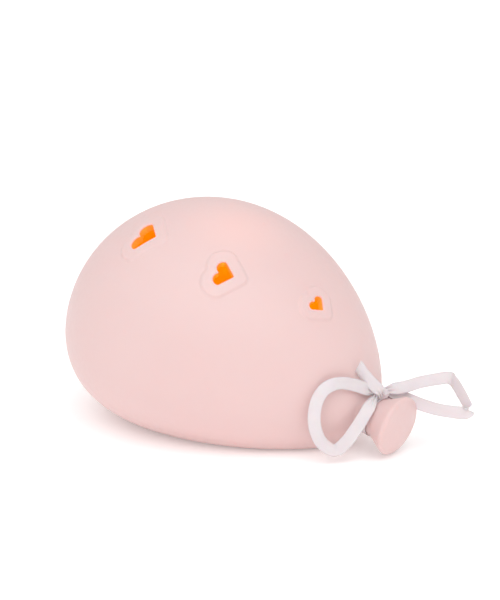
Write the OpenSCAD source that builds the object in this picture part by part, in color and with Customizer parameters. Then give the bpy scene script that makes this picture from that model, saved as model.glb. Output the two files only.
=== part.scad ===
// Small porcelain lamp in the shape of a party balloon lying on its side.
// A satin ribbon is tied in a bow round the neck, and an amber LED module plugs into the flat base.
// +Z is up and +X runs from the round end towards the neck.
// The origin is on the table plane, at the centre of the bore in the flat base.

/* [Balloon] */
// Largest radius of the balloon, across its width
body_r = 70; // [68:0.5:72]
// Length from the widest section to the round end
front_len = 73.8; // [70:0.1:78]
// Length from the widest section to the start of the neck
rear_len = 96.6; // [94:0.1:99]
// Height of the balloon's centre line above the table, at the widest section
centre_h = 38.5; // [37:0.1:41]
// How deep the underside is at the widest section, as a share of the radius
belly_share = 0.67; // [0.62:0.01:0.75]
// How much that share falls from the widest section to the neck
belly_taper = 0.168; // [0.1:0.002:0.2]
// Slope of the balloon's centre line, down towards the neck
body_tilt = 11.3; // [9:0.1:12]
// Further slope that the centre line gains by the neck
neck_dip = 2.3; // [0:0.1:3]
// Distance from the widest section to the base bore
base_shift = 20; // [16:0.5:24]
// Radius of the tied neck
waist_r = 9; // [8:0.1:9.2]
// Thickness of the porcelain
wall = 3.2; // [2.5:0.1:4]
// Thickness of the porcelain at the base
base_wall = 3.6; // [3.2:0.1:4]

/* [Hearts] */
// Widths of the three heart holes, from the round end to the neck
hole_w = [16.8, 12.7, 8.9]; // [8:0.1:18]
// Widths of the raised hearts round the holes
relief_w = [31, 27, 22]; // [16:0.5:32]
// Height of the raised hearts above the body
relief_h = 0.9; // [0.5:0.1:1.2]
// Places of the hearts along the balloon, from the widest section
heart_s = [-23.5, 25, 61]; // [-30:0.5:66]
// Places of the hearts round the balloon, where 90 is the top
heart_phi = [126, 126.5, 102.5]; // [90:0.5:135]
// Turn of each heart's tip away from the line to the neck
heart_turn = [9, 18, 8]; // [-30:1:30]

/* [Ribbon] */
// Width of the satin ribbon
ribbon_w = 6; // [5:0.5:7]
// Thickness of the ribbon, doubled by its stiffening fold
ribbon_t = 0.6; // [0.5:0.1:0.8]

/* [LED module] */
// Radius of the module's housing
module_r = 19; // [18.5:0.1:19]
// Height of the housing's top above the table
module_top = 20.8; // [20.5:0.1:24]
// Gap between the table and the module's underside
module_gap = 0.6; // [0.4:0.1:0.8]
// Radius of the hole in the base, which the socket ring lines
bore_r = 20.6; // [20.5:0.1:20.8]
// Thickness of the module's base plate
plate_t = 2; // [2:0.1:2.4]

/* [Hidden] */

ring_sides = 40;
front_steps = 12;
rear_steps = 16;
neck_steps = 4;
hollow_sides = 28;
soft_edge = 3;
round_fn = 64;
small_fn = 32;

// ---- the balloon's profile, as [place along the centre line, radius] ----
function bez(p, t) = pow(1 - t, 3) * p[0] + 3 * t * pow(1 - t, 2) * p[1]
                     + 3 * t * t * (1 - t) * p[2] + pow(t, 3) * p[3];
function curve(p, n) = [for (i = [1 : n]) bez(p, i / n)];
shoulder = [0.965 * rear_len, 12.3];
neck_s = 98.2;
rim_s = 109.8;
face_s = 114.8;
rear_curve = [[0, body_r], [0.542 * rear_len, body_r], [0.925 * rear_len, 22.2], shoulder];
waist_curve = [shoulder, [94.2, 9.8], [96, waist_r], [neck_s, waist_r]];
flare_curve = [[neck_s, waist_r], [103, waist_r], [107.4, 12.9], [rim_s, 14.1]];
rim_curve = [[rim_s, 14.1], [111.2, 15.2], [112.8, 15], [113.2, 13.2]];
dome_curve = [[113.2, 13.2], [113.8, 10.2], [face_s, 4.4], [face_s, 0.4]];
front_curve = [for (i = [0 : front_steps])
    let (a = max(90 * i / front_steps, 1.5)) [-front_len * cos(a), body_r * sin(a)]];
outer_profile = concat(front_curve, curve(rear_curve, rear_steps), curve(waist_curve, neck_steps),
                       curve(flare_curve, neck_steps), curve(rim_curve, neck_steps),
                       curve(dome_curve, neck_steps));

// ---- the hollow inside, a wall's thickness smaller ----
hollow_end = 0.9 * rear_len;
hollow_curve = [[0, body_r - wall], [0.542 * rear_len, body_r - wall], [0.86 * rear_len, 24],
                [hollow_end, 9]];
hollow_steps = 8;
inner_profile = concat(
    [for (i = [0 : hollow_steps])
        let (a = max(90 * i / hollow_steps, 1.5))
        [-(front_len - wall) * cos(a), (body_r - wall) * sin(a)]],
    curve(hollow_curve, hollow_steps));

// ---- the centre line, which slopes down and dips a little more by the neck ----
function ease(t) = let (c = min(1, max(0, t))) c * c * (3 - 2 * c);
function slope(s) = body_tilt + neck_dip * ease((s - 0.35 * rear_len) / (0.65 * rear_len));
line_step = 5;
line_n = 24;
line_ahead = [for (i = 0, p = [0, 0]; i <= line_n;
    i = i + 1,
    p = p + line_step * [cos(slope((i - 0.5) * line_step)), -sin(slope((i - 0.5) * line_step))])
    [i * line_step, p[0], p[1]]];
line_x = [for (p = line_ahead) [p[0], p[1]]];
line_z = [for (p = line_ahead) [p[0], p[2]]];
function centre(s) = s < 0
    ? [s * cos(body_tilt) - base_shift, 0, centre_h - s * sin(body_tilt)]
    : [lookup(s, line_x) - base_shift, 0, centre_h + lookup(s, line_z)];

// ---- a point on the balloon: s along it, phi round it, r its radius there ----
function depth_share(s, r) =
    1 - (1 - belly_share + belly_taper * s / rear_len)
        * min(1, max(0, (r - waist_r) / (body_r - waist_r)));
function soft_floor(z, floor_z) =
    max(z, floor_z) + pow(max(0, soft_edge - abs(z - floor_z)), 2) / (4 * soft_edge);
// skin is the distance inwards from the outer surface, and floor_z the flat underside's height
function shell_point(s, phi, r, skin, floor_z) =
    let (up = sin(phi),
         full = r + skin,
         reach = up < 0 ? full * depth_share(s, full) - skin : r,
         a = slope(s),
         c = centre(s),
         p = c + [0, r * cos(phi), 0] + up * reach * [sin(a), 0, cos(a)])
    [p[0], p[1], soft_floor(p[2], floor_z)];

module loft(profile, sides, skin, floor_z) {
    n = len(profile);
    points = [for (p = profile, k = [0 : sides - 1])
        shell_point(p[0], 360 * k / sides, p[1], skin, floor_z)];
    sides_a = [for (i = [0 : n - 2], k = [0 : sides - 1])
        [i * sides + k, (i + 1) * sides + k, i * sides + (k + 1) % sides]];
    sides_b = [for (i = [0 : n - 2], k = [0 : sides - 1])
        [i * sides + (k + 1) % sides, (i + 1) * sides + k, (i + 1) * sides + (k + 1) % sides]];
    first = [for (k = [1 : sides - 2]) [0, k, k + 1]];
    last = [for (k = [1 : sides - 2]) [(n - 1) * sides, (n - 1) * sides + k + 1, (n - 1) * sides + k]];
    polyhedron(points, concat(sides_a, sides_b, first, last), convexity = 6);
}

// ---- hearts ----
radius_table = [for (p = outer_profile) if (p[0] < shoulder[0]) [p[0], p[1]]];
function skin_point(s, phi) = shell_point(s, phi, lookup(s, radius_table), 0, 0);
function unit(v) = v / norm(v);
lobe_r = 0.26;
lobe_x = 0.5 - lobe_r;
tip_y = -0.58;
tip_r = 0.02;

// A heart one unit wide times width, as two lobes that each run down to the tip
module heart(width) {
    for (side = [-1, 1])
        hull() {
            translate([side * lobe_x * width, 0]) circle(r = lobe_r * width, $fn = small_fn);
            translate([0, tip_y * width]) circle(r = tip_r * width, $fn = small_fn / 2);
        }
}

// A heart-shaped bar along the surface's normal, with its tip towards the neck
module heart_bar(i, width, below, above) {
    step = 1;
    p = skin_point(heart_s[i], heart_phi[i]);
    along = unit(skin_point(heart_s[i] + step, heart_phi[i]) - skin_point(heart_s[i] - step, heart_phi[i]));
    round = unit(skin_point(heart_s[i], heart_phi[i] + step) - skin_point(heart_s[i], heart_phi[i] - step));
    out = unit(cross(along, -round));
    side = cross(out, along);
    multmatrix([[along[0], side[0], out[0], p[0]],
                [along[1], side[1], out[1], p[1]],
                [along[2], side[2], out[2], p[2]],
                [0, 0, 0, 1]])
        rotate([0, 0, 90 + heart_turn[i]])
            translate([0, 0, -below])
                linear_extrude(below + above)
                    heart(width);
}

module balloon_shell() {
    bar_in = 12;
    bar_out = 8;
    raised = [for (p = outer_profile) if (p[0] < shoulder[0]) [p[0], p[1] + relief_h]];
    color("mistyrose")
    difference() {
        union() {
            loft(outer_profile, ring_sides, 0, 0);
            intersection() {
                loft(raised, ring_sides, 0, 0);
                union()
                    for (i = [0 : 2])
                        heart_bar(i, relief_w[i], 3, bar_out);
            }
        }
        loft(inner_profile, hollow_sides, wall, base_wall);
        for (i = [0 : 2])
            heart_bar(i, hole_w[i], bar_in, bar_out);
        translate([0, 0, -1])
            cylinder(r = bore_r, h = base_wall + 8, $fn = round_fn);
    }
}

// Soft ring glued into the base hole, flush with the base, which grips the module
module socket_ring() {
    glue_gap = 0.1;
    module_clearance = 0.05;
    lip_h = 0.8;
    color("gainsboro")
    tube(bore_r - glue_gap, module_r + module_clearance, base_wall + lip_h);
}

// ---- ribbon ----
// Each point of a strip is [place on its middle line, direction of its width]
knot_at = [78, 1.5, 27.8];
left_route = [
    [[78.3, -1.4, 29.4], [0.3, 0.5, 0.8]],
    [[74, -12, 35], [0.1, 0.4, 0.9]],
    [[70, -20.5, 37.5], [0.2, 0.5, 0.85]],
    [[66.5, -27, 35.5], [-0.6, 0.1, 0.8]],
    [[65, -31.5, 29.5], [-0.9, -0.4, 0.3]],
    [[65.5, -33.5, 20.5], [-0.8, -0.6, 0]],
    [[67.5, -31, 11.5], [-0.65, -0.6, -0.45]],
    [[71.5, -26, 6.8], [0, -0.2, -1]],
    [[74.5, -21, 9.8], [0.7, 0.3, -0.65]],
    [[76.5, -15.5, 15.5], [0.75, 0.4, -0.5]],
    [[79.1, -11.1, 22.9], [0.9, 0.2, -0.3]],
    [[79.6, -4.2, 28.9], [0.9, 0.25, -0.3]]];
right_route = [
    [[79.3, 3, 29.6], [-0.1, 0.3, 1]],
    [[84.5, 13, 30], [-0.1, 0.2, 1]],
    [[89, 19.5, 31.5], [-0.1, 0.2, 1]],
    [[94.5, 26, 32.5], [-0.1, 0.2, 1]],
    [[99, 29.5, 33], [-0.05, 0.1, 1]],
    [[103, 28, 31.5], [0, 0, 1]],
    [[108, 25.5, 28], [0, 0, 1]],
    [[112.5, 23, 24.5], [0, 0, 1]],
    [[114.5, 21.5, 22], [0, 0.1, 1]],
    [[112, 20, 20.8], [0, 0.2, 1]],
    [[102.5, 17, 21], [-0.1, 0.2, 1]],
    [[94.5, 15.5, 22], [-0.1, 0.2, 1]],
    [[88, 14.5, 23.5], [-0.1, 0.2, 1]],
    [[82.7, 12.2, 25.6], [-0.1, 0.2, 1]],
    [[79.6, 3.6, 29.2], [-0.1, 0.3, 1]]];
short_tail_route = [
    [[73, -7.5, 43], [0.85, 0.4, 0.3]],
    [[75.5, -6, 38.5], [0.85, 0.4, 0.3]],
    [[78.5, -4, 34], [0.85, 0.45, 0.3]],
    [[81, -2, 30.5], [0.85, 0.5, 0.25]],
    [[80.5, 0.5, 28.5], [0.85, 0.5, 0.2]]];
long_tail_route = [
    [[78, 3, 29], [1, 0, -0.1]],
    [[77.5, 8, 26.5], [1, 0, -0.2]],
    [[77.5, 11.5, 21], [1, 0, -0.25]],
    [[78, 12.5, 14.5], [1, 0, -0.25]],
    [[78.5, 13, 8], [1, 0, -0.25]]];

strip_steps = 3;
function spline(a, b, c, d, t) =
    0.5 * (2 * b + (c - a) * t + (2 * a - 5 * b + 4 * c - d) * t * t
           + (3 * b - a - 3 * c + d) * t * t * t);
function route_value(route, part, u) =
    let (n = len(route) - 1, i = min(n - 1, floor(u)))
    spline(route[max(0, i - 1)][part], route[i][part], route[i + 1][part],
           route[min(n, i + 2)][part], u - i);

// The stretch of a strip between two shares of its length
module strip(route, from_share, to_share) {
    whole = (len(route) - 1) * strip_steps;
    first = round(from_share * whole);
    n = round(to_share * whole) - first;
    middle = [for (k = [0 : whole]) route_value(route, 0, k / strip_steps)];
    points = [for (k = [first : first + n])
        let (along = unit(middle[min(whole, k + 1)] - middle[max(0, k - 1)]),
             wide = route_value(route, 1, k / strip_steps),
             side = unit(wide - (wide * along) * along) * ribbon_w / 2,
             thick = cross(along, unit(side)) * ribbon_t / 2)
        each [middle[k] - side - thick, middle[k] + side - thick,
              middle[k] + side + thick, middle[k] - side + thick]];
    walls = [for (k = [0 : n - 1], j = [0 : 3])
        each [[4 * k + j, 4 * k + 4 + j, 4 * k + (j + 1) % 4],
              [4 * k + (j + 1) % 4, 4 * k + 4 + j, 4 * k + 4 + (j + 1) % 4]]];
    ends = [[0, 1, 2], [0, 2, 3], [4 * n, 4 * n + 2, 4 * n + 1], [4 * n, 4 * n + 3, 4 * n + 2]];
    polyhedron(points, concat(walls, ends), convexity = 6);
}

// A loop is made in two halves, because its two ends cross in the knot
module ribbon_loop(route) {
    strip(route, 0, 0.5);
    strip(route, 0.5, 1);
}

// One gathered fold of the knot, at that turn round the knot's middle
knot_folds = 8;
module knot_fold(turn) {
    fold_r = 1;
    spread = 1.1;
    lift = 1.6;
    half_len = 1.5;
    lean = 0.6;
    hull()
        for (end = [-1, 1])
            translate([end * half_len, spread * cos(turn) + end * lean, lift + spread * sin(turn)])
                sphere(r = fold_r, $fn = 16);
}

module ribbon_bow() {
    wrap_gap = 0.95;
    wrap_t = 0.7;
    wrap_r = waist_r + wrap_gap;
    c = centre(neck_s);
    color("snow")
    union() {
        translate(c)
            rotate([0, 90 + slope(neck_s), 0])
                difference() {
                    cylinder(r = wrap_r + wrap_t, h = ribbon_w - 0.6, center = true, $fn = round_fn);
                    cylinder(r = wrap_r, h = ribbon_w + 1, center = true, $fn = round_fn);
                }
        translate(knot_at)
            rotate([0, slope(neck_s), 0])
                for (i = [0 : knot_folds - 1])
                    knot_fold(360 * i / knot_folds);
        ribbon_loop(left_route);
        ribbon_loop(right_route);
        strip(short_tail_route, 0, 1);
        strip(long_tail_route, 0, 1);
    }
}

// ---- LED module ----
plate_top = module_gap + plate_t;
cup_wall = 1.4;
bay_c = [-1.5, -5];
bay_size = [19.2, 12.2];
bay_wall = 1;
bay_top = 15.2;
board_t = 1;
board_top = bay_top + board_t;
board_r = 12.8;
cell_r = 5.8;
cell_len = 5.4;
cell_z = 8.4;
cell_x0 = -9;
cell_gap = 0.02;
boss_at = [13.2, 7.8];
door_t = 1.6;
door_gap = 0.25;
door_screw_at = [11.8, -5];
switch_y = 9.5;
switch_travel = 3;
led_r = 2.5;
cup_ceiling = module_top - cup_wall;

module tube(r_out, r_in, h) {
    difference() {
        cylinder(r = r_out, h = h, $fn = round_fn);
        translate([0, 0, -1]) cylinder(r = r_in, h = h + 2, $fn = round_fn);
    }
}

module door_outline(grow) {
    translate([bay_c[0] - bay_size[0] / 2 - 1.5 - grow, bay_c[1] - bay_size[1] / 2 - 0.4 - grow])
        square([bay_size[0] + 2.5 + 2 * grow, bay_size[1] + 0.8 + 2 * grow]);
    translate([5, door_screw_at[1] - 3.4 - grow])
        square([9.6 + grow, 6.8 + 2 * grow]);
}

module housing_cup() {
    color("white")
    union() {
        translate([0, 0, plate_top])
            tube(module_r, module_r - cup_wall, cup_ceiling - plate_top + 0.2);
        translate([0, 0, cup_ceiling])
            tube(module_r, led_r + 0.2, cup_wall);
        for (side = [-1, 1])
            translate([side * boss_at[0], boss_at[1], plate_top + 0.05])
                tube(2.2, 0.85, cup_ceiling - plate_top + 0.1);
    }
}

module base_plate() {
    color("white")
    difference() {
        union() {
            translate([0, 0, module_gap]) cylinder(r = module_r, h = plate_t, $fn = round_fn);
            translate([bay_c[0] - bay_size[0] / 2 - bay_wall, bay_c[1] - bay_size[1] / 2 - bay_wall, plate_top - 0.5])
                cube([bay_size[0] + 2 * bay_wall, bay_size[1] + 2 * bay_wall, bay_top - plate_top + 0.5]);
            translate([door_screw_at[0], door_screw_at[1], plate_top - 0.5])
                cylinder(r = 2.4, h = 6.5, $fn = round_fn);
        }
        // battery bay, open to the door
        translate([bay_c[0] - bay_size[0] / 2, bay_c[1] - bay_size[1] / 2, 0])
            cube([bay_size[0], bay_size[1], bay_top + 1]);
        // seat of the door
        translate([0, 0, 0])
            linear_extrude(module_gap + door_t + 0.05) door_outline(door_gap);
        translate([door_screw_at[0], door_screw_at[1], 0])
            cylinder(r = 1.03, h = 7.8, $fn = small_fn);
        // finger recess and slot of the switch
        translate([-5, switch_y - 2.6, 0]) cube([10, 5.2, module_gap + 0.9]);
        translate([-2.7, switch_y - 1, 0]) cube([5.4, 2, plate_top + 1]);
        for (side = [-1, 1])
            translate([side * boss_at[0], boss_at[1], 0]) {
                cylinder(r = 1.1, h = plate_top + 1, $fn = small_fn);
                cylinder(r = 2, h = module_gap + 1, $fn = small_fn);
            }
    }
}

module circuit_board() {
    color("seagreen")
    difference() {
        translate([0, 0, bay_top]) cylinder(r = board_r, h = board_t, $fn = round_fn);
        for (x = [-1.27, 1.27])
            translate([x, 0, 0]) cylinder(r = 0.35, h = 30, $fn = small_fn);
        for (x = [4, 10])
            translate([x, 6.5, 0]) cylinder(r = 0.4, h = 30, $fn = small_fn);
    }
}

module amber_led() {
    flange = 1;
    body_h = 5.2;
    color("orange")
    union() {
        translate([0, 0, cup_ceiling - flange - 0.05]) cylinder(r = led_r + 0.4, h = flange, $fn = round_fn);
        translate([0, 0, cup_ceiling - 0.2]) cylinder(r = led_r, h = body_h + 0.2, $fn = round_fn);
        translate([0, 0, cup_ceiling + body_h]) sphere(r = led_r, $fn = round_fn);
        for (x = [-1.27, 1.27])
            translate([x, 0, bay_top - 0.5]) cylinder(r = 0.25, h = cup_ceiling - bay_top - flange + 0.6, $fn = small_fn);
    }
}

module led_holder() {
    color("white")
    difference() {
        translate([0, 0, board_top]) cylinder(r = 3.2, h = cup_ceiling - board_top - 1.05, $fn = round_fn);
        for (x = [-1.27, 1.27])
            translate([x, 0, 0]) cylinder(r = 0.35, h = 30, $fn = small_fn);
    }
}

module resistor() {
    color("tan")
    union() {
        translate([5.2, 6.5, board_top + 1]) rotate([0, 90, 0]) cylinder(r = 0.9, h = 3.6, $fn = small_fn);
        translate([3.75, 6.5, board_top + 1]) rotate([0, 90, 0]) cylinder(r = 0.25, h = 6.5, $fn = small_fn);
        for (x = [4, 10])
            translate([x, 6.5, bay_top - 0.4]) cylinder(r = 0.25, h = board_t + 1.4, $fn = small_fn);
    }
}

module switch_body() {
    color("dimgray")
    difference() {
        translate([-4.3, switch_y - 2, plate_top + 0.05]) cube([8.6, 4, 3.6]);
        translate([-3.7, switch_y - 1.3, plate_top - 1]) cube([7.4, 2.6, 2.6]);
    }
}

module switch_slider() {
    x = -switch_travel / 2;
    color("black")
    union() {
        translate([x - 2, switch_y - 1.15, plate_top + 0.1]) cube([4, 2.3, 1.3]);
        translate([x - 1, switch_y - 0.8, module_gap + 0.15]) cube([2, 1.6, plate_t + 0.2]);
    }
}

module contact_plate(x) {
    translate([x, bay_c[1] - 4, 4]) cube([0.4, 8, 9]);
}

module contact_positive() {
    end_x = bay_c[0] + bay_size[0] / 2;
    color("silver")
    union() {
        contact_plate(end_x - 0.45);
        translate([end_x - 0.85, bay_c[1], cell_z]) rotate([0, 90, 0]) cylinder(r = 1.5, h = 0.5, $fn = small_fn);
    }
}

module contact_negative() {
    end_x = bay_c[0] - bay_size[0] / 2;
    color("silver")
    union() {
        contact_plate(end_x + 0.05);
        translate([end_x + 0.4, bay_c[1], cell_z])
            rotate([0, 90, 0])
                cylinder(r1 = 3, r2 = 1.2, h = cell_x0 - end_x - 0.45, $fn = small_fn);
    }
}

module cell(i) {
    cap_in = 0.5;
    color("lightsteelblue")
    translate([cell_x0 + i * (cell_len + cell_gap), bay_c[1], cell_z])
        rotate([0, 90, 0])
            union() {
                cylinder(r = cell_r - 0.9, h = cap_in, $fn = round_fn);
                translate([0, 0, cap_in - 0.1]) cylinder(r = cell_r, h = cell_len - cap_in + 0.1, $fn = round_fn);
            }
}

module battery_door() {
    color("white")
    difference() {
        translate([0, 0, module_gap]) linear_extrude(door_t) door_outline(0);
        translate([door_screw_at[0], door_screw_at[1], 0]) {
            cylinder(r = 1.15, h = 10, $fn = small_fn);
            cylinder(r = 2.1, h = module_gap + 0.9, $fn = small_fn);
        }
        // finger ribs, cut into the underside
        for (i = [0 : 3])
            translate([bay_c[0] - 7 + 1.6 * i, bay_c[1] - 3, 0]) cube([0.7, 6, module_gap + 0.4]);
    }
}

// A cross-head screw with its head's underside at z = 0, standing up along +Z
module small_screw(head_r, shank_r, length) {
    head_t = 0.85;
    difference() {
        union() {
            translate([0, 0, -head_t]) cylinder(r = head_r, h = head_t, $fn = small_fn);
            translate([0, 0, -0.1]) cylinder(r = shank_r, h = length, $fn = small_fn);
        }
        for (a = [0, 90])
            rotate([0, 0, a]) translate([-1.1, -0.2, -head_t - 1]) cube([2.2, 0.4, 1.5]);
    }
}

module door_screw() {
    color("gray")
    translate([door_screw_at[0], door_screw_at[1], module_gap + 0.88]) small_screw(1.9, 0.98, 5.5);
}

module housing_screws() {
    color("gray")
    for (side = [-1, 1])
        translate([side * boss_at[0], boss_at[1], module_gap + 0.98]) small_screw(1.8, 0.84, 7);
}

// ---- wires, swept along short routes inside the housing ----
wire_r = 0.5;
wire_sides = 8;
red_route = [[9.8, -3, 14.2], [10.6, -2, 14], [11.4, 0, 13], [11.6, 2.5, 12.6], [10.5, 4.5, 13.4], [9.5, 5, 14.6]];
black_route = [[-13, -3, 12], [-13.6, -1, 11], [-13, 2, 9.5], [-11, 5.5, 8], [-7.5, 8.6, 6.5], [-4.9, 9.5, 4.8]];
switch_route = [[4.9, 9.5, 4.8], [6.2, 9, 7], [6.4, 8, 10], [5, 7.5, 12.5], [2, 7.5, 13.8], [0, 7.5, 14.6]];

module wire(route) {
    steps = 3;
    n = (len(route) - 1) * steps;
    listed = [for (p = route) [p]];
    middle = [for (k = [0 : n]) route_value(listed, 0, k / steps)];
    points = [for (k = [0 : n])
        let (along = unit(middle[min(n, k + 1)] - middle[max(0, k - 1)]),
             a = unit(cross(along, [0.3, -0.4, 0.86])),
             b = cross(along, a))
        each [for (j = [0 : wire_sides - 1])
            middle[k] + wire_r * (cos(360 * j / wire_sides) * a + sin(360 * j / wire_sides) * b)]];
    walls = [for (k = [0 : n - 1], j = [0 : wire_sides - 1])
        let (p = k * wire_sides, q = (j + 1) % wire_sides)
        each [[p + j, p + wire_sides + j, p + q], [p + q, p + wire_sides + j, p + wire_sides + q]]];
    last = n * wire_sides;
    ends = [for (j = [1 : wire_sides - 2])
        each [[0, j, j + 1], [last, last + j + 1, last + j]]];
    polyhedron(points, concat(walls, ends), convexity = 4);
}

module wire_red() {
    color("red") wire(red_route);
}

module wire_black() {
    color("black") wire(black_route);
}

module wire_switch() {
    color("black") wire(switch_route);
}

balloon_shell();
socket_ring();
ribbon_bow();
housing_cup();
base_plate();
circuit_board();
amber_led();
led_holder();
resistor();
switch_body();
switch_slider();
contact_positive();
contact_negative();
cell(0);  // cell_1
cell(1);  // cell_2
cell(2);  // cell_3
battery_door();
door_screw();
housing_screws();
wire_red();
wire_black();
wire_switch();
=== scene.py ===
"""Looks of the balloon lamp: porcelain shell with lit heart holes, satin bow and LED module."""

import math

import bmesh
import bpy
import numpy as np
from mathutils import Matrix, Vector
from mathutils.geometry import delaunay_2d_cdt


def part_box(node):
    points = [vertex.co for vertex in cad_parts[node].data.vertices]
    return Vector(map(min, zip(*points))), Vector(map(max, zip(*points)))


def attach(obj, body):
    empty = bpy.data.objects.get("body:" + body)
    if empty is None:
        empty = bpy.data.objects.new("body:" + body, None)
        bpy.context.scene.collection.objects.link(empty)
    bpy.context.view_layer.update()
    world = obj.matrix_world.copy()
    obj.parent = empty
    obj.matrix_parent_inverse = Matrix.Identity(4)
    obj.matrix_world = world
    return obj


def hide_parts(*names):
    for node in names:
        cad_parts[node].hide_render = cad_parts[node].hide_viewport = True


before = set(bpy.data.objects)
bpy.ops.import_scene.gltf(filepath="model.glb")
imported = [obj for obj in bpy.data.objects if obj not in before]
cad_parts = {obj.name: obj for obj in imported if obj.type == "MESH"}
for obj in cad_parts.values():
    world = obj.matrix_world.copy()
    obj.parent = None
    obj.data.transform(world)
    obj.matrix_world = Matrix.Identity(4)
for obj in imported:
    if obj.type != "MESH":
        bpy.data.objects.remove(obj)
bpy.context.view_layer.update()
MM = 0.001

# ---------------------------------------------------------------- camera
camera = bpy.data.objects.new("camera", bpy.data.cameras.new("camera"))
bpy.context.collection.objects.link(camera)
camera.data.sensor_width = 36
camera.data.lens = 112.74
camera.data.clip_start, camera.data.clip_end = 0.01, 20
camera.location = (0.5292, -0.7056, 0.2950)
aim = Vector((0.00386, 0, 0.06221)) - camera.location
camera.rotation_mode = "QUATERNION"
camera.rotation_quaternion = aim.to_track_quat("-Z", "Y")
bpy.context.scene.camera = camera
bpy.context.scene.view_settings.view_transform = "Standard"


# ---------------------------------------------------------------- mesh helpers
def new_object(name, verts, faces, material, body="lamp", smooth=True):
    mesh = bpy.data.meshes.new(name)
    mesh.from_pydata([tuple(v) for v in verts], [], [tuple(f) for f in faces])
    mesh.validate()
    mesh.materials.append(material)
    for face in mesh.polygons:
        face.use_smooth = smooth
    made = bpy.data.objects.new(name, mesh)
    bpy.context.collection.objects.link(made)
    if body:
        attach(made, body)
    return made


def recalc(obj, merge=False):
    """Turn the faces outwards, after joining points that share a place if merge is set."""
    work = bmesh.new()
    work.from_mesh(obj.data)
    if merge:
        bmesh.ops.remove_doubles(work, verts=work.verts, dist=1e-6)
    bmesh.ops.recalc_face_normals(work, faces=work.faces)
    work.to_mesh(obj.data)
    work.free()


def unit(v):
    return v / np.linalg.norm(v, axis=-1, keepdims=True)


def smoothstep(t):
    t = np.clip(t, 0, 1)
    return t * t * (3 - 2 * t)


# ---------------------------------------------------------------- material helpers
class Shader:
    """A Principled material that is built up from object-space noise."""

    def __init__(self, name, color, roughness, **inputs):
        self.material = bpy.data.materials.new(name)
        self.material.use_nodes = True
        self.nodes = self.material.node_tree.nodes
        self.links = self.material.node_tree.links
        self.bsdf = self.nodes["Principled BSDF"]
        self.bsdf.inputs["Base Color"].default_value = (*color, 1)
        self.bsdf.inputs["Roughness"].default_value = roughness
        for key, value in inputs.items():
            self.bsdf.inputs[key.replace("_", " ")].default_value = value
        self.coords = self.nodes.new("ShaderNodeTexCoord")
        self.bumped = None

    def noise(self, scale, detail=3.0, stretch=None):
        node = self.nodes.new("ShaderNodeTexNoise")
        node.inputs["Scale"].default_value = scale
        node.inputs["Detail"].default_value = detail
        source = self.coords.outputs["Object"]
        if stretch:
            mapping = self.nodes.new("ShaderNodeMapping")
            mapping.inputs["Scale"].default_value = stretch
            self.links.new(source, mapping.inputs["Vector"])
            source = mapping.outputs["Vector"]
        self.links.new(source, node.inputs["Vector"])
        return node.outputs["Fac"]

    def math(self, operation, *values):
        node = self.nodes.new("ShaderNodeMath")
        node.operation = operation
        for k, value in enumerate(values):
            if isinstance(value, (int, float)):
                node.inputs[k].default_value = value
            else:
                self.links.new(value, node.inputs[k])
        return node.outputs["Value"]

    def ramp(self, value, low, high, to_low=0.0, to_high=1.0):
        node = self.nodes.new("ShaderNodeMapRange")
        node.interpolation_type = "SMOOTHSTEP"
        for key, number in zip(("From Min", "From Max", "To Min", "To Max"), (low, high, to_low, to_high)):
            node.inputs[key].default_value = number
        self.links.new(value, node.inputs["Value"])
        return node.outputs["Result"]

    def mix(self, factor, a, b):
        node = self.nodes.new("ShaderNodeMix")
        node.data_type = "RGBA"
        self.links.new(factor, node.inputs["Factor"])
        for key, value in ((6, a), (7, b)):
            if isinstance(value, tuple):
                node.inputs[key].default_value = (*value, 1)
            else:
                self.links.new(value, node.inputs[key])
        return node.outputs[2]

    def set(self, key, value):
        self.links.new(value, self.bsdf.inputs[key])

    def bump(self, height, distance, strength=1.0):
        node = self.nodes.new("ShaderNodeBump")
        node.inputs["Distance"].default_value = distance
        node.inputs["Strength"].default_value = strength
        self.links.new(height, node.inputs["Height"])
        if self.bumped:
            self.links.new(self.bumped, node.inputs["Normal"])
        self.bumped = node.outputs["Normal"]
        self.set("Normal", self.bumped)


def plastic(name, color, roughness=0.45, grain=2600.0, bump=0.00004, **inputs):
    """Moulded plastic: fine spark grain, slight tone drift and uneven gloss."""
    s = Shader(name, color, roughness, **inputs)
    tone = s.noise(60.0, 2.0)
    dark = tuple(c * 0.93 for c in color)
    s.set("Base Color", s.mix(s.ramp(tone, 0.35, 0.7), color, dark))
    s.set("Roughness", s.ramp(s.noise(180.0), 0.3, 0.7, roughness - 0.07, roughness + 0.09))
    s.bump(s.noise(grain, 2.0), bump, 0.6)
    return s.material


def metal(name, color, roughness=0.28, stretch=(1.0, 1.0, 14.0)):
    """Sheet or turned metal with fine drawn lines and slight tarnish."""
    s = Shader(name, color, roughness, Metallic=1.0)
    lines = s.noise(900.0, 3.0, stretch)
    dull = tuple(c * 0.72 for c in color)
    s.set("Base Color", s.mix(s.ramp(s.noise(220.0, 4.0), 0.42, 0.75), color, dull))
    s.set("Roughness", s.ramp(lines, 0.25, 0.75, roughness - 0.08, roughness + 0.12))
    s.bump(lines, 0.00002, 0.4)
    return s.material


# ---------------------------------------------------------------- balloon surface, in millimetres
BODY_R, FRONT, REAR, CENTRE_H = 70.0, 73.8, 96.6, 38.5
BELLY, BELLY_TAPER, TILT, DIP = 0.67, 0.168, 11.3, 2.3
BASE_SHIFT, WAIST_R, WALL, SOFT_EDGE = 20.0, 9.0, 3.2, 3.0
NECK_S, RIM_S, FACE_S = 98.2, 109.8, 114.8
SHOULDER = (0.965 * REAR, 12.3)
HOLLOW_END = 0.88 * REAR
BORE_R = 20.6


def bezier(points, count):
    p = np.array(points, float)
    t = np.linspace(0, 1, count + 1)[1:, None]
    return (1 - t) ** 3 * p[0] + 3 * t * (1 - t) ** 2 * p[1] + 3 * t * t * (1 - t) * p[2] + t**3 * p[3]


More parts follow.
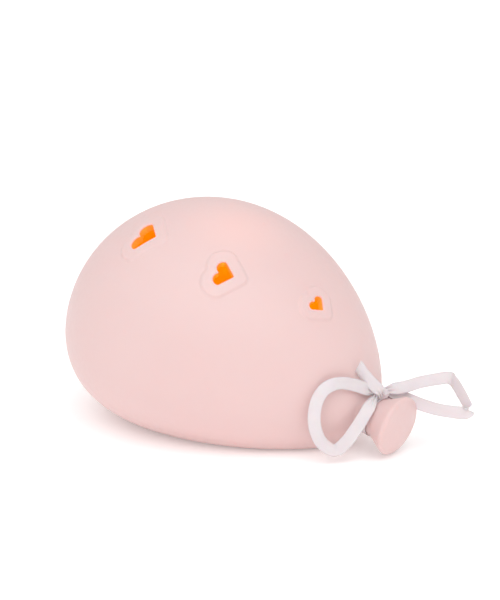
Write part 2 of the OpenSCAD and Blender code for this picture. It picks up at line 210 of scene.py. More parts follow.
def outline_profile(front, rear, neck):
    a = np.linspace(0, math.pi / 2, front + 1)[1:]
    return np.concatenate([
        np.stack([-FRONT * np.cos(a), BODY_R * np.sin(a)], 1),
        bezier([(0, BODY_R), (0.542 * REAR, BODY_R), (0.925 * REAR, 22.2), SHOULDER], rear),
        bezier([SHOULDER, (94.2, 9.8), (96, WAIST_R), (NECK_S, WAIST_R)], neck),
        bezier([(NECK_S, WAIST_R), (103, WAIST_R), (107.4, 12.9), (RIM_S, 14.1)], neck),
        bezier([(RIM_S, 14.1), (111.2, 15.2), (112.8, 15), (113.2, 13.2)], neck),
        bezier([(113.2, 13.2), (113.8, 10.2), (FACE_S, 4.4), (FACE_S, 0.0)], neck)[:-1]])


fine = outline_profile(600, 900, 30)
fine = np.concatenate([[[-FRONT, 0.0]], fine[fine[:, 0] < SHOULDER[0]]])
line_s = np.linspace(-100, 140, 2401)


def slope(s):
    return np.radians(TILT + DIP * smoothstep((s - 0.35 * REAR) / (0.65 * REAR)))


heading = np.stack([np.cos(slope(line_s)), -np.sin(slope(line_s))], 1)
run = np.concatenate([[[0, 0]], np.cumsum((heading[1:] + heading[:-1]) / 2 * np.diff(line_s)[:, None], 0)])
run -= [np.interp(0, line_s, run[:, k]) for k in (0, 1)]


def centre(s):
    return np.stack([np.interp(s, line_s, run[:, 0]) - BASE_SHIFT, 0 * s,
                     np.interp(s, line_s, run[:, 1]) + CENTRE_H], -1)


def skin(s, phi, r=None):
    """Points of the outer surface: s along the balloon, phi round it in radians, r its radius."""
    s, phi = np.broadcast_arrays(np.asarray(s, float), np.asarray(phi, float))
    if r is None:
        r = np.interp(s, fine[:, 0], fine[:, 1])
    share = 1 - (1 - BELLY + BELLY_TAPER * s / REAR) * np.clip((r - WAIST_R) / (BODY_R - WAIST_R), 0, 1)
    up = np.sin(phi) * np.where(np.sin(phi) < 0, share, 1.0) * r
    a = slope(s)
    p = centre(s) + up[..., None] * np.stack([np.sin(a), 0 * a, np.cos(a)], -1)
    p[..., 1] += r * np.cos(phi)
    z = p[..., 2]
    p[..., 2] = np.maximum(z, 0) + np.clip(SOFT_EDGE - np.abs(z), 0, None) ** 2 / (4 * SOFT_EDGE)
    return p


def skin_normal(s, phi, step=0.05):
    ds = skin(s + step, phi) - skin(s - step, phi)
    dp = skin(s, phi + step / 60) - skin(s, phi - step / 60)
    return unit(np.cross(dp, ds))


# ---------------------------------------------------------------- hearts
LOBE_R, LOBE_X, TIP_Y, TIP_R = 0.26, 0.24, -0.44, 0.02


def even(points, spacing):
    """The closed outline with points an even distance apart."""
    loop = np.concatenate([points, points[:1]])
    length = np.concatenate([[0], np.cumsum(np.linalg.norm(np.diff(loop, axis=0), axis=1))])
    count = int(round(length[-1] / spacing))
    t = np.linspace(0, length[-1], count + 1)[:-1]
    return np.stack([np.interp(t, length, loop[:, k]) for k in (0, 1)], 1)


def heart(width, round_off):
    """Outline of a heart that wide, its tip towards -y, with corners eased round_off times."""
    notch = math.atan2(math.sqrt(LOBE_R**2 - LOBE_X**2), -LOBE_X)
    gap = math.hypot(LOBE_X, TIP_Y)
    side = math.atan2(-TIP_Y, LOBE_X) - math.acos((LOBE_R - TIP_R) / gap)
    lobe = np.linspace(notch, side, 60)[:, None]
    tip = np.linspace(side, -math.pi / 2, 8)[:, None]
    half = np.concatenate([
        np.hstack([LOBE_X + LOBE_R * np.cos(lobe), LOBE_R * np.sin(lobe)]),
        np.hstack([TIP_R * np.cos(tip), TIP_Y + TIP_R * np.sin(tip)])])
    other = half[::-1] * [-1, 1]
    points = even(np.concatenate([half, other[1:-1]]) * width, 0.3)
    for _ in range(round_off):
        points = (points + (np.roll(points, 1, 0) + np.roll(points, -1, 0)) / 2) / 2
    return points


def distance(points, loop):
    """Signed distance from a closed outline, positive outside it."""
    a, b = loop, np.roll(loop, -1, 0)
    best = np.full(len(points), 1e9)
    inside = np.zeros(len(points), bool)
    x, y = points[:, 0], points[:, 1]
    for p, q in zip(a, b):
        d = q - p
        t = np.clip(((x - p[0]) * d[0] + (y - p[1]) * d[1]) / (d @ d), 0, 1)
        best = np.minimum(best, np.hypot(x - p[0] - t * d[0], y - p[1] - t * d[1]))
        crosses = (p[1] > y) != (q[1] > y)
        where = p[0] + (y - p[1]) / (q[1] - p[1] if q[1] != p[1] else 1) * d[0]
        inside ^= crosses & (x < where)
    return np.where(inside, -best, best)


HOLE_W, RELIEF_W = (16.8, 12.7, 9.6), (31.0, 27.0, 22.0)
HEART_S, HEART_PHI, HEART_TURN = (-21.0, 27.0, 62.5), (125.5, 126.5, 104.5), (9.0, 18.0, 8.0)
RELIEF_H, RELIEF_ROUND, RELIEF_EDGE, RIM_ROUND = 0.9, 4.5, 1.5, 0.75


OUTLINE_STEP, HEART_LATTICE, BORE_LATTICE, BORE_RIM, BORE_SIDES, BORE_REACH = 0.45, 0.5, 1.4, 0.3, 140, 25
# rings of points round a hole, as shares of its rounded rim, and levels down its wall
RIM_RINGS, WALL_LEVELS = (0.07, 0.2, 0.42, 0.72, 1.1), (0.34, 0.5, 0.68, 0.85)
SHELL_COLS, FRONT_ROWS, REAR_ROWS, NECK_ROWS = 176, 40, 72, 9


class Patch:
    """A stretch of the surface that is triangulated finely round one hole."""

    def __init__(self, s, phi, turn, outline, relief, reach, lattice, rim, axes=None):
        self.s0, self.phi0 = s, math.radians(phi)
        self.p0 = skin(s, self.phi0)
        if axes is None:
            along = unit(skin(s + 1, self.phi0) - skin(s - 1, self.phi0))
            round_ = unit(skin(s, self.phi0 + 0.02) - skin(s, self.phi0 - 0.02))
            out = unit(np.cross(round_, along))
            side = np.cross(out, along)
            c, d = math.cos(math.radians(90 + turn)), math.sin(math.radians(90 + turn))
            self.a, self.b = c * along + d * side, -d * along + c * side
        else:
            self.a, self.b = axes
            self.p0 = np.zeros(3)
        self.outline = even(outline, min(OUTLINE_STEP, lattice))
        self.relief, self.reach, self.lattice, self.rim = relief, reach, lattice, rim

    def uv(self, s, phi):
        """The surface's points in the patch's own plane."""
        p = skin(s, phi) - self.p0
        return np.stack([p @ self.a, p @ self.b], -1)

    def params(self, uv):
        """The (s, phi) of points given in the patch's own plane, by Newton's method."""
        s, phi = np.full(len(uv), self.s0), np.full(len(uv), self.phi0)
        e = 1e-3
        for _ in range(12):
            f = self.uv(s, phi) - uv
            fs = (self.uv(s + e, phi) - self.uv(s - e, phi)) / (2 * e)
            fp = (self.uv(s, phi + e) - self.uv(s, phi - e)) / (2 * e)
            det = fs[:, 0] * fp[:, 1] - fs[:, 1] * fp[:, 0]
            s = s - np.clip((f[:, 0] * fp[:, 1] - f[:, 1] * fp[:, 0]) / det, -15, 15)
            phi = phi - np.clip((fs[:, 0] * f[:, 1] - fs[:, 1] * f[:, 0]) / det, -0.3, 0.3)
        return s, phi

    def height(self, uv):
        """How far the surface stands out of the plain balloon there."""
        h = np.zeros(len(uv))
        if self.relief is not None:
            inside = RELIEF_ROUND - distance(uv, self.relief)
            h += RELIEF_H * smoothstep(inside / RELIEF_EDGE)
        d = np.clip(distance(uv, self.outline), 0, self.rim)
        return h - (self.rim - np.sqrt(np.maximum(self.rim**2 - (self.rim - d) ** 2, 0)))


    def points(self, s_range, phi_range):
        """Places for the patch's points: the hole's outline, rings close to it, and a lattice."""
        loop, h = self.outline, self.lattice
        tangent = unit(np.roll(loop, -1, 0) - np.roll(loop, 1, 0))
        area = np.sum(loop[:, 0] * np.roll(loop[:, 1], -1) - loop[:, 1] * np.roll(loop[:, 0], -1))
        outwards = np.stack([tangent[:, 1], -tangent[:, 0]], 1) * math.copysign(1, area)
        uv = [loop]
        for share in RIM_RINGS:
            ring = loop + outwards * self.rim * share
            off = distance(ring, loop)
            uv.append(ring[np.abs(off - self.rim * share) < 0.02 * self.rim])
        u0, u1, v0, v1 = self.reach
        beyond = 12
        us, vs = np.meshgrid(np.arange(u0 - beyond, u1 + beyond, h),
                             np.arange(v0 - beyond, v1 + beyond, h * 0.866))
        us[1::2] += h / 2
        lattice = np.stack([us.ravel(), vs.ravel()], 1)
        s, phi = self.params(lattice)
        gap_s, gap_phi = 0.35 * h, 0.35 * h / 60
        keep = ((s > s_range[0] + gap_s) & (s < s_range[1] - gap_s)
                & (phi > phi_range[0] + gap_phi) & (phi < phi_range[1] - gap_phi))
        keep &= np.abs(self.uv(s, phi) - lattice).max(1) < 1e-3
        lattice = lattice[keep]
        uv.append(lattice[distance(lattice, loop) > self.rim * 1.1 + 0.4 * h])
        return np.concatenate(uv)

    def triangles(self, border, s, phi):
        """Triangles over the border's (s, phi) pairs and then the patch's points, less the hole."""
        r0 = float(np.interp(self.s0, fine[:, 0], fine[:, 1]))
        flat = np.array(border + list(zip(s, phi))) * [1, r0]
        n, n_loop = len(border), len(self.outline)
        edges = [(k, (k + 1) % n) for k in range(n)]
        edges += [(n + k, n + (k + 1) % n_loop) for k in range(n_loop)]
        _, _, found, origin, _, _ = delaunay_2d_cdt([Vector(p) for p in flat], edges, [], 0, 1e-7)
        found = np.array([[origin[k][0] if origin[k] else -1 for k in t] for t in found])
        middle = flat[found].mean(1)
        return found[distance(self.uv(middle[:, 0], middle[:, 1] / r0), self.outline) > 0]


def shell_patches():
    """The three hearts and the base bore."""
    patches = []
    for k, w in enumerate(RELIEF_W):
        reach = (-w / 2 - 2.5, w / 2 + 2.5, -0.6 * w - 3.5, 0.3 * w + 4)
        patches.append(Patch(HEART_S[k], HEART_PHI[k], HEART_TURN[k], heart(HOLE_W[k], 6),
                             heart(w - 2 * RELIEF_ROUND, 4), reach, HEART_LATTICE, RIM_ROUND))
    circle = np.linspace(0, 2 * math.pi, BORE_SIDES + 1)[:-1]
    bore = np.stack([BORE_R * np.cos(circle), BORE_R * np.sin(circle)], 1)
    reach = (-BORE_REACH, BORE_REACH, -BORE_REACH, BORE_REACH)
    patches.append(Patch(BASE_SHIFT, 270.0, 0, bore, None, reach, BORE_LATTICE, BORE_RIM,
                         (np.array([1.0, 0, 0]), np.array([0, 1.0, 0]))))
    return patches


def make_shell(outside, inside):
    """The wall: an outer and an inner surface as grids, with a patch let into both round each hole.
    The inner surface and the holes' walls take the second material, which is painted with the LED's amber
    light."""
    cols = SHELL_COLS
    step = 2 * math.pi / cols
    rows = outline_profile(FRONT_ROWS, REAR_ROWS, NECK_ROWS)
    phis = np.arange(cols) * 2 * math.pi / cols
    s_rows = rows[:, 0]
    grid = skin(rows[:, :1], phis[None, :], rows[:, 1:])
    n_rows = len(rows)
    along = np.gradient(grid, axis=0)
    round_ = np.roll(grid, -1, 1) - np.roll(grid, 1, 1)
    normals = unit(np.cross(round_, along))
    inner_rows = int(np.searchsorted(s_rows, HOLLOW_END))

    # the outer grid and its two poles, then the inner grid and its two
    front_pole = skin(-FRONT, 0.0, np.array(0.0))
    back_pole = skin(FACE_S, 0.0, np.array(0.0))
    inner_grid = (grid - WALL * normals)[:inner_rows]
    front_axis = np.array([math.cos(math.radians(TILT)), 0, -math.sin(math.radians(TILT))])
    end_middle = inner_grid[-1].mean(0)
    verts = [grid.reshape(-1, 3), front_pole[None], back_pole[None],
             inner_grid.reshape(-1, 3), (front_pole + WALL * front_axis)[None], end_middle[None]]
    n_out = n_rows * cols
    base_in = n_out + 2
    inner_poles = base_in + inner_rows * cols
    total = inner_poles + 2
    faces, painted_glow_faces = [], []
    cut = np.zeros((n_rows, cols), bool)
    for patch in shell_patches():
        # the block of the grid that the patch takes the place of, and its border
        u0, u1, v0, v1 = patch.reach
        edge = np.array([(u, v) for u in np.linspace(u0, u1, 9) for v in (v0, v1)]
                        + [(u, v) for v in np.linspace(v0, v1, 9) for u in (u0, u1)])
        s_e, phi_e = patch.params(edge)
        i0 = int(np.searchsorted(s_rows, s_e.min())) - 1
        i1 = int(np.searchsorted(s_rows, s_e.max()))
        j0, j1 = int(math.floor(phi_e.min() / step)), int(math.ceil(phi_e.max() / step))
        cut[i0:i1, j0:j1] = True
        border = ([(i0, j) for j in range(j0, j1)] + [(i, j1) for i in range(i0, i1)]
                  + [(i1, j) for j in range(j1, j0, -1)] + [(i, j0) for i in range(i1, i0, -1)])
        # the patch's points on both surfaces
        uv = patch.points((s_rows[i0], s_rows[i1]), (j0 * step, j1 * step))
        s_p, phi_p = patch.params(uv)
        normal_p = skin_normal(s_p, phi_p)
        plain = skin(s_p, phi_p)
        outer_start, inner_start = total, total + len(uv)
        verts += [plain + normal_p * patch.height(uv)[:, None], plain - WALL * normal_p]
        total += 2 * len(uv)
        outer_id = [i * cols + j % cols for i, j in border] + list(range(outer_start, inner_start))
        inner_id = [base_in + i * cols + j % cols for i, j in border] + list(range(inner_start, total))
        for t in patch.triangles([(s_rows[i], j * step) for i, j in border], s_p, phi_p):
            faces.append([outer_id[k] for k in t])
            painted_glow_faces.append([inner_id[k] for k in t[::-1]])
        # the wall of the hole
        nb, n_loop = len(border), len(patch.outline)
        levels = [outer_id[nb:nb + n_loop]]
        for share in WALL_LEVELS:
            verts.append(plain[:n_loop] - (share * WALL * normal_p[:n_loop]))
            levels.append(list(range(total, total + n_loop)))
            total += n_loop
        levels.append(inner_id[nb:nb + n_loop])
        for upper, lower in zip(levels, levels[1:]):
            for k in range(n_loop):
                m = (k + 1) % n_loop
                painted_glow_faces.append((upper[k], upper[m], lower[m], lower[k]))
    for base, count, where in ((0, n_rows, faces), (base_in, inner_rows, painted_glow_faces)):
        for i in range(count - 1):
            for j in range(cols):
                if not cut[i, j]:
                    m = (j + 1) % cols
                    where.append((base + i * cols + j, base + i * cols + m,
                                  base + (i + 1) * cols + m, base + (i + 1) * cols + j))
    for j in range(cols):
        m = (j + 1) % cols
        last, last_in = (n_rows - 1) * cols, base_in + (inner_rows - 1) * cols
        faces.append((n_out, m, j))
        faces.append((n_out + 1, last + j, last + m))
        painted_glow_faces.append((inner_poles, base_in + j, base_in + m))
        painted_glow_faces.append((inner_poles + 1, last_in + m, last_in + j))
    shell = new_object("porcelain_shell", np.concatenate(verts) * MM, faces + painted_glow_faces, outside)
    shell.data.materials.append(inside)
    for face in shell.data.polygons[len(faces):]:
        face.material_index = 1
    recalc(shell)
    return shell


# ---------------------------------------------------------------- porcelain
LED_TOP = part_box("amber_led")[1].z
# centre of the painted glow: emission on the porcelain that stands for the LED's light through the wall
PAINTED_GLOW_AT = (0.007, -0.0143, 0.102)


def porcelain():
    """Matte pink bisque, with a painted warm glow, in emission, where the LED's light would show through
    it.
    """
    pink = (0.79, 0.58, 0.565)
    s = Shader("porcelain_bisque", pink, 0.5, Subsurface_Weight=0.2, Subsurface_Scale=0.0012,
               Subsurface_Radius=(1.0, 0.45, 0.35), IOR=1.45)
    s.bsdf.inputs["Specular IOR Level"].default_value = 0.55
    cloud = s.ramp(s.noise(9.0, 2.0), 0.3, 0.7)
    deep = (0.78, 0.555, 0.54)
    s.set("Base Color", s.mix(cloud, pink, deep))
    s.set("Roughness", s.ramp(s.noise(420.0, 4.0), 0.3, 0.7, 0.42, 0.54))
    s.bump(s.noise(2400.0, 3.0), 0.00005, 0.35)
    s.bump(s.noise(55.0, 2.0), 0.0004, 0.06)
    # a painted glow round one place, in emission, stands for the light that comes through the wall
    gap = s.nodes.new("ShaderNodeVectorMath")
    gap.operation = "DISTANCE"
    gap.inputs[1].default_value = PAINTED_GLOW_AT
    s.links.new(s.coords.outputs["Object"], gap.inputs[0])
    s.set("Emission Strength", s.ramp(gap.outputs["Value"], 0.034, 0.0, 0.0, 0.085))
    s.bsdf.inputs["Emission Color"].default_value = (1.0, 0.30, 0.12, 1)
    return s.material


def painted_glow_porcelain():
    """The inside of the wall and the holes' walls: an amber colour and a glow, both painted light that
    stands for the LED's light in the clay.
    """
    # the amber base colour is painted light from the LED; the clay itself is pink
    s = Shader("porcelain_painted_glow", (0.88, 0.34, 0.08), 0.6)
    tone = s.ramp(s.noise(130.0, 3.0), 0.3, 0.7)
    s.set("Base Color", s.mix(tone, (0.88, 0.34, 0.08), (0.80, 0.26, 0.05)))
    s.bump(s.noise(900.0, 3.0), 0.00008, 0.4)
    # painted glow: emission that stands for the LED's light on the inside of the wall
    s.set("Emission Strength", s.ramp(s.noise(90.0, 2.0), 0.3, 0.7, 0.42, 0.62))
    s.bsdf.inputs["Emission Color"].default_value = (1.0, 0.2, 0.0, 1)
    return s.material


shell = make_shell(porcelain(), painted_glow_porcelain())
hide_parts("balloon_shell")

# ---------------------------------------------------------------- light inside
ABOVE_LED = 0.006
glow = bpy.data.lights.new("led_light", "POINT")
glow.energy = 0.12
glow.color = (1.0, 0.33, 0.012)
glow.shadow_soft_size = 0.003
glow_object = bpy.data.objects.new("led_light", glow)
glow_object.location = (0, 0, LED_TOP + ABOVE_LED)
bpy.context.collection.objects.link(glow_object)

# ---------------------------------------------------------------- ribbon
RIBBON_W, RIBBON_T = 6.0, 0.32
LEFT = [((78.3, -1.4, 29.4), (0.3, 0.5, 0.8)), ((74, -12, 35), (0.1, 0.4, 0.9)),
        ((70, -20.5, 37.5), (0.2, 0.5, 0.85)), ((66.5, -27, 35.5), (-0.6, 0.1, 0.8)),
        ((65, -31.5, 29.5), (-0.9, -0.4, 0.3)), ((65.5, -33.5, 20.5), (-0.8, -0.6, 0)),
        ((67.5, -31, 11.5), (-0.65, -0.6, -0.45)), ((71.5, -26, 6.8), (0, -0.2, -1)),
        ((74.5, -21, 9.8), (0.7, 0.3, -0.65)), ((76.5, -15.5, 15.5), (0.75, 0.4, -0.5)),
        ((79.1, -11.1, 22.9), (0.9, 0.2, -0.3)), ((79.6, -4.2, 28.9), (0.9, 0.25, -0.3))]
RIGHT = [((79.3, 3, 29.6), (-0.35, 0.5, 0.9)), ((84.5, 13, 30), (-0.45, 0.6, 0.85)),
         ((89, 19.5, 31.5), (-0.45, 0.6, 0.85)), ((94.5, 26, 32.5), (-0.45, 0.6, 0.85)),
         ((99, 29.5, 33), (-0.4, 0.5, 0.9)), ((103, 28, 31.5), (-0.3, 0.3, 0.95)),
         ((108, 25.5, 28), (-0.3, 0.3, 0.95)), ((112.5, 23, 24.5), (-0.3, 0.3, 0.95)),
         ((114.5, 21.5, 22), (-0.3, 0.3, 0.95)), ((112, 20, 20.8), (-0.35, 0.4, 0.9)),
         ((102.5, 17, 21), (-0.45, 0.6, 0.85)), ((94.5, 15.5, 22), (-0.45, 0.6, 0.85)),
         ((88, 14.5, 23.5), (-0.45, 0.6, 0.85)), ((82.7, 12.2, 25.6), (-0.45, 0.6, 0.85)),
         ((79.6, 3.6, 29.2), (-0.35, 0.5, 0.9))]
SHORT_TAIL = [((72.5, -8.5, 43.3), (0.75, 0.2, 0.6)), ((75.5, -7, 39), (0.75, 0.25, 0.6)),
              ((78.5, -5.2, 35), (0.75, 0.3, 0.55)), ((81.6, -3.6, 31.6), (0.7, 0.4, 0.5)),
              ((81.6, -2, 28.6), (0.6, 0.6, 0.4))]
LONG_TAIL = [((78, 3, 29), (1, 0, -0.1)), ((77.5, 8, 26.5), (1, 0, -0.2)),
             ((77.5, 11.5, 21), (1, 0, -0.25)), ((78, 12.5, 14.5), (1, 0, -0.25)),
             ((78.5, 13, 8), (1, 0, -0.25))]


def spline(values, count):
    """Catmull-Rom through the values, with count steps in each stretch."""
    p = np.array(values, float)
    p = np.concatenate([p[:1], p, p[-1:]])
    out = []
    for a, b, c, d in zip(p, p[1:], p[2:], p[3:]):
        for t in np.linspace(0, 1, count, endpoint=False):
            out.append(0.5 * (2 * b + (c - a) * t + (2 * a - 5 * b + 4 * c - d) * t * t
                              + (3 * b - a - 3 * c + d) * t**3))
    out.append(p[-2])
    return np.array(out)


ACROSS, STRETCH_STEPS, CUP, SLANT_LENGTH = 13, 10, 0.25, 6.0


def ribbon(name, route, material, pinch=(0, 0), slant=(0, 0)):
    """A strip of satin along a route of (place, direction of its width), in millimetres.
    pinch gives the length at each end over which the knot gathers it, and slant the cut ends."""
    middle = spline([p for p, _ in route], STRETCH_STEPS)
    wide = spline([w for _, w in route], STRETCH_STEPS)
    along = unit(np.gradient(middle, axis=0))
    wide = unit(wide - np.sum(wide * along, 1, keepdims=True) * along)
    thick = np.cross(along, wide)
    reach = np.concatenate([[0], np.cumsum(np.linalg.norm(np.diff(middle, axis=0), axis=1))])
    u = np.linspace(-1, 1, ACROSS)
    gather = np.ones(len(middle))
    for length, far in ((pinch[0], reach), (pinch[1], reach[-1] - reach)):
        if length:
            gather = np.minimum(gather, 0.5 + 0.5 * smoothstep(far / length))
    verts, uvs = [], []
    for side in (1, -1):
        for k in range(len(middle)):
            width = RIBBON_W / 2 * gather[k]
            bend = CUP * (1 - u**2) + (1 - gather[k]) * 1.6 * np.cos(2.5 * math.pi * u)
            wave = 0.12 * np.sin(reach[k] * 0.21 + 1.3) * u
            edge = np.sqrt(np.clip(1 - np.abs(u) ** 14, 0.12, 1))
            shift = (slant[0] * max(0, 1 - reach[k] / SLANT_LENGTH)
                     + slant[1] * max(0, 1 - (reach[-1] - reach[k]) / SLANT_LENGTH))
            row = (middle[k] + np.outer(u * width, wide[k])
                   + np.outer(bend + wave + side * RIBBON_T / 2 * edge, thick[k])
                   + np.outer(u * shift, along[k]))
            verts.append(row)
            uvs += [(0.5 + 0.5 * x, reach[k] / RIBBON_W) for x in u]
    n, m = len(middle), ACROSS
    verts = np.concatenate(verts)

    def top(k, j):
        return k * m + j

    def low(k, j):
        return n * m + k * m + j

    faces = []
    for k in range(n - 1):
        for j in range(m - 1):
            faces.append((top(k, j), top(k, j + 1), top(k + 1, j + 1), top(k + 1, j)))
            faces.append((low(k, j), low(k + 1, j), low(k + 1, j + 1), low(k, j + 1)))
        for j, order in ((0, 1), (m - 1, -1)):
            faces.append((top(k, j), top(k + 1, j), low(k + 1, j), low(k, j))[::order])
    for k, order in ((0, -1), (n - 1, 1)):
        for j in range(m - 1):
            faces.append((top(k, j), top(k, j + 1), low(k, j + 1), low(k, j))[::order])
    strip = new_object(name, verts * MM, faces, material)
    layer = strip.data.uv_layers.new(name="cloth")
    for corner in strip.data.loops:
        layer.data[corner.index].uv = uvs[corner.vertex_index]
    recalc(strip)
    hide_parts("ribbon_bow")
    return strip, middle * MM, reach[-1] * MM


TURN, WEFT_THREADS, WARP_THREADS = 6.2832, 38, 30


def satin():
    """White woven satin with a slightly darker woven edge."""
    white = (0.78, 0.725, 0.74)
    s = Shader("ribbon_satin", white, 0.42, Sheen_Weight=0.35, Sheen_Roughness=0.4,
               Anisotropic=0.5, Subsurface_Weight=0.15, Subsurface_Scale=0.0006)
    uv = s.nodes.new("ShaderNodeSeparateXYZ")
    s.links.new(s.coords.outputs["UV"], uv.inputs["Vector"])
    weft = s.math("SINE", s.math("MULTIPLY", uv.outputs["Y"], TURN * WEFT_THREADS))
    warp = s.math("SINE", s.math("MULTIPLY", uv.outputs["X"], TURN * WARP_THREADS))
    weave = s.math("MULTIPLY", weft, warp)
    # the woven edge, a thread's width in from each side
    edge = s.math("ABSOLUTE", s.math("SUBTRACT", uv.outputs["X"], 0.5))
    selvedge = s.ramp(edge, 0.43, 0.46)
    tone = s.ramp(s.noise(70.0, 3.0), 0.3, 0.75)
    s.set("Base Color", s.mix(tone, s.mix(selvedge, white, (0.74, 0.66, 0.68)), (0.75, 0.68, 0.70)))
    s.set("Roughness", s.ramp(s.noise(500.0, 2.0), 0.3, 0.7, 0.36, 0.5))
    s.bump(weave, 0.00003, 0.5)
    s.bump(selvedge, 0.00008, 0.8)
    s.bump(s.noise(160.0, 2.0), 0.0002, 0.35)
    return s.material


cloth = satin()
left, left_path, left_length = ribbon("bow_loop_left", LEFT, cloth, pinch=(7, 7))
right, right_path, right_length = ribbon("bow_loop_right", RIGHT, cloth, pinch=(7, 7))
ribbon("bow_tail_short", SHORT_TAIL, cloth, pinch=(0, 6), slant=(-1.5, 0))
ribbon("bow_tail_back", LONG_TAIL, cloth, pinch=(5, 0), slant=(0, 1.5))


def make_wrap():
    """The turn of ribbon round the neck, gathered a little so that it has folds along it."""
    outer_gap, inner_gap, half_width = 0.75, 0.3, 2.6
    fold_depth, edge_flare, lean_by = 0.16, 0.35, 0.5
    c = centre(np.array(NECK_S))
    a = float(slope(np.array(NECK_S)))
    axis = np.array([math.cos(a), 0, -math.sin(a)])
    up = np.array([math.sin(a), 0, math.cos(a)])
    n, m = 96, 11
    verts, faces = [], []
    for layer, lift in ((0, WAIST_R + outer_gap), (1, WAIST_R + inner_gap)):
        for k in range(n):
            t = 2 * math.pi * k / n
            for j in range(m):
                u = -1 + 2 * j / (m - 1)
                r = lift + fold_depth * math.sin(7 * u + 2 * math.sin(t)) + edge_flare * abs(u) ** 3
                lean = lean_by * math.sin(t + 0.6)
                verts.append(c + r * (math.cos(t) * np.array([0, 1, 0]) + math.sin(t) * up)
                             + (half_width * u + lean) * axis)

    def at(layer, k, j):
        return layer * n * m + (k % n) * m + j

    for k in range(n):
        for j in range(m - 1):
            faces.append((at(0, k, j), at(0, k, j + 1), at(0, k + 1, j + 1), at(0, k + 1, j)))
            faces.append((at(1, k, j), at(1, k + 1, j), at(1, k + 1, j + 1), at(1, k, j + 1)))
        for j in (0, m - 1):
            faces.append((at(0, k, j), at(0, k + 1, j), at(1, k + 1, j), at(1, k, j)))
    wrap = new_object("bow_wrap", np.array(verts) * MM, faces, cloth)
    recalc(wrap)
    return wrap


def make_knot():
    """The knot: a gathered, rounded turn of ribbon with folds that run over it."""
    n, m = 56, 36
    half_length, half_width, half_height = 4.3, 3.6, 3.0
    folds, fold_depth, waist = 9, 0.06, 0.16
    middle, turn = np.array([79.0, 0.6, 28.6]), math.radians(58)
    verts = []
    for i in range(n + 1):
        t = math.pi * i / n
        for j in range(m):
            p = 2 * math.pi * j / m
            fold = 1 + fold_depth * math.cos(folds * p + 1.4 * math.sin(t * 2)) * math.sin(t)
            pinch = 1 - waist * math.sin(t) ** 6
            x, y, z = math.cos(t), math.sin(t) * math.cos(p), math.sin(t) * math.sin(p)
            verts.append((half_length * x, half_width * y * fold * pinch, half_height * z * fold * pinch))
    verts = np.array(verts)
    along = np.array([math.cos(turn), math.sin(turn), 0.12])
    along /= np.linalg.norm(along)
    up = unit(np.array([0.25, -0.25, 1.0]))
    side = unit(np.cross(up, along))
    up = np.cross(along, side)
    verts = middle + verts @ np.array([along, side, up])
    faces = []
    for i in range(n):
        for j in range(m):
            k = (j + 1) % m
            faces.append((i * m + j, i * m + k, (i + 1) * m + k, (i + 1) * m + j))
    knot = new_object("bow_knot", verts * MM, faces, cloth)
    recalc(knot, merge=True)
    return knot


for piece in (make_wrap(), make_knot()):
    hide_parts("ribbon_bow")

# ---------------------------------------------------------------- LED module
white_abs = plastic("housing_abs", (0.86, 0.85, 0.82))
resin = Shader("led_resin", (1.0, 0.45, 0.08), 0.08, Transmission_Weight=0.5, IOR=1.5)
resin.bsdf.inputs["Emission Color"].default_value = (1.0, 0.33, 0.03, 1)
resin.set("Emission Strength", resin.ramp(resin.noise(300.0), 0.2, 0.8, 5.0, 7.0))
board = Shader("board_mask", (0.02, 0.16, 0.06), 0.3, Coat_Weight=0.4)
board.set("Base Color", board.mix(board.ramp(board.noise(900.0, 2.0, (1, 0.15, 1)), 0.5, 0.56),
                                  (0.02, 0.16, 0.06), (0.035, 0.22, 0.09)))
board.bump(board.noise(1500.0), 0.00003, 0.5)
steel = metal("screw_zinc", (0.52, 0.52, 0.54), 0.32)
nickel = metal("contact_nickel", (0.70, 0.69, 0.66), 0.25, (1.0, 1.0, 8.0))
can = metal("cell_steel", (0.72, 0.73, 0.75), 0.16, (12.0, 1.0, 1.0))
silicone = plastic("ring_silicone", (0.80, 0.79, 0.76), 0.55, 900.0, 0.00003,
                   Subsurface_Weight=0.3, Subsurface_Scale=0.002)
lacquer = Shader("resistor_lacquer", (0.62, 0.42, 0.22), 0.35, Coat_Weight=0.3)
bands = lacquer.nodes.new("ShaderNodeTexWave")
bands.inputs["Scale"].default_value = 260.0
lacquer.links.new(lacquer.coords.outputs["Object"], bands.inputs["Vector"])
lacquer.set("Base Color", lacquer.mix(lacquer.ramp(bands.outputs["Fac"], 0.8, 0.9),
                                      (0.62, 0.42, 0.22), (0.22, 0.05, 0.02)))
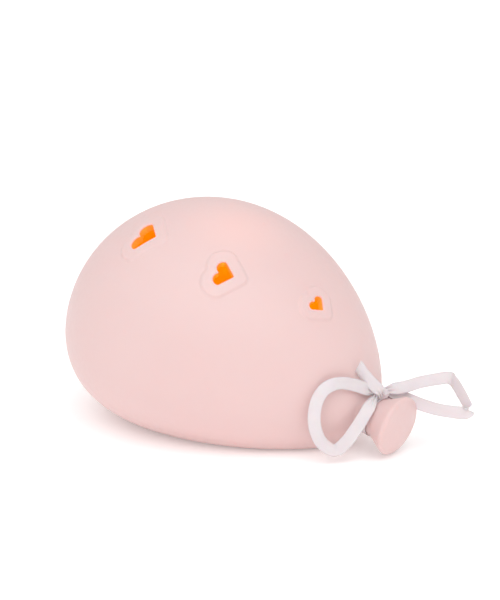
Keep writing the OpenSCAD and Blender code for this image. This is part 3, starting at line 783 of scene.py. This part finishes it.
LOOKS = {
    "socket_ring": silicone,
    "housing_cup": white_abs,
    "base_plate": plastic("plate_abs", (0.83, 0.82, 0.79), 0.5),
    "battery_door": plastic("door_abs", (0.81, 0.80, 0.77), 0.5),
    "led_holder": plastic("holder_nylon", (0.78, 0.78, 0.74), 0.4),
    "circuit_board": board.material,
    "amber_led": resin.material,
    "resistor": lacquer.material,
    "switch_body": metal("switch_tin", (0.60, 0.60, 0.61), 0.3),
    "switch_slider": plastic("slider_black", (0.02, 0.02, 0.022), 0.4),
    "contact_positive": nickel, "contact_negative": nickel,
    "cell_1": can, "cell_2": can, "cell_3": can,
    "door_screw": steel, "housing_screws": steel,
    "wire_red": plastic("wire_red_pvc", (0.50, 0.02, 0.015), 0.35, 1200.0),
    "wire_black": plastic("wire_black_pvc", (0.02, 0.02, 0.02), 0.35, 1200.0),
    "wire_switch": plastic("wire_switch_pvc", (0.025, 0.025, 0.027), 0.35, 1200.0),
}
for name, look in LOOKS.items():
    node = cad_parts[name]
    node.data.materials.clear()
    node.data.materials.append(look)

# ---------------------------------------------------------------- stage and light
paper = Shader("floor_paper", (0.97, 0.97, 0.97), 0.8)
paper.set("Emission Strength", paper.ramp(paper.noise(2.0), 0.3, 0.7, 0.16, 0.18))
paper.bsdf.inputs["Emission Color"].default_value = (1.0, 1.0, 1.0, 1)
paper.set("Roughness", paper.ramp(paper.noise(30.0), 0.3, 0.7, 0.75, 0.9))
half = 6.0  # metres, so that the floor fills the picture
floor = new_object("floor", [(-half, -half, 0), (half, -half, 0), (half, half, 0), (-half, half, 0)],
                   [(0, 1, 2, 3)], paper.material, body=None, smooth=False)

world = bpy.data.worlds.new("studio")
bpy.context.scene.world = world
world.use_nodes = True
SKY_AT_HORIZON, SKY_ABOVE, ABOVE_FROM = 0.62, 0.82, 0.7
sky = world.node_tree.nodes
to_sky = sky.new("ShaderNodeTexCoord")
height = sky.new("ShaderNodeSeparateXYZ")
fade = sky.new("ShaderNodeMapRange")
spans = (0.0, ABOVE_FROM, SKY_AT_HORIZON, SKY_ABOVE)
for key, number in zip(("From Min", "From Max", "To Min", "To Max"), spans):
    fade.inputs[key].default_value = number
world.node_tree.links.new(to_sky.outputs["Generated"], height.inputs["Vector"])
world.node_tree.links.new(height.outputs["Z"], fade.inputs["Value"])
world.node_tree.links.new(fade.outputs["Result"], sky["Background"].inputs["Strength"])
sky["Background"].inputs["Color"].default_value = (1.0, 1.0, 1.0, 1)


# a wide soft key light, from above the camera
key = bpy.data.lights.new("key", "SUN")
key.energy = 1.1
key.angle = math.radians(60)
key_object = bpy.data.objects.new("key", key)
key_object.rotation_mode = "QUATERNION"
key_object.rotation_quaternion = Vector((-0.42, 0.62, -1.15)).to_track_quat("-Z", "Y")
bpy.context.collection.objects.link(key_object)
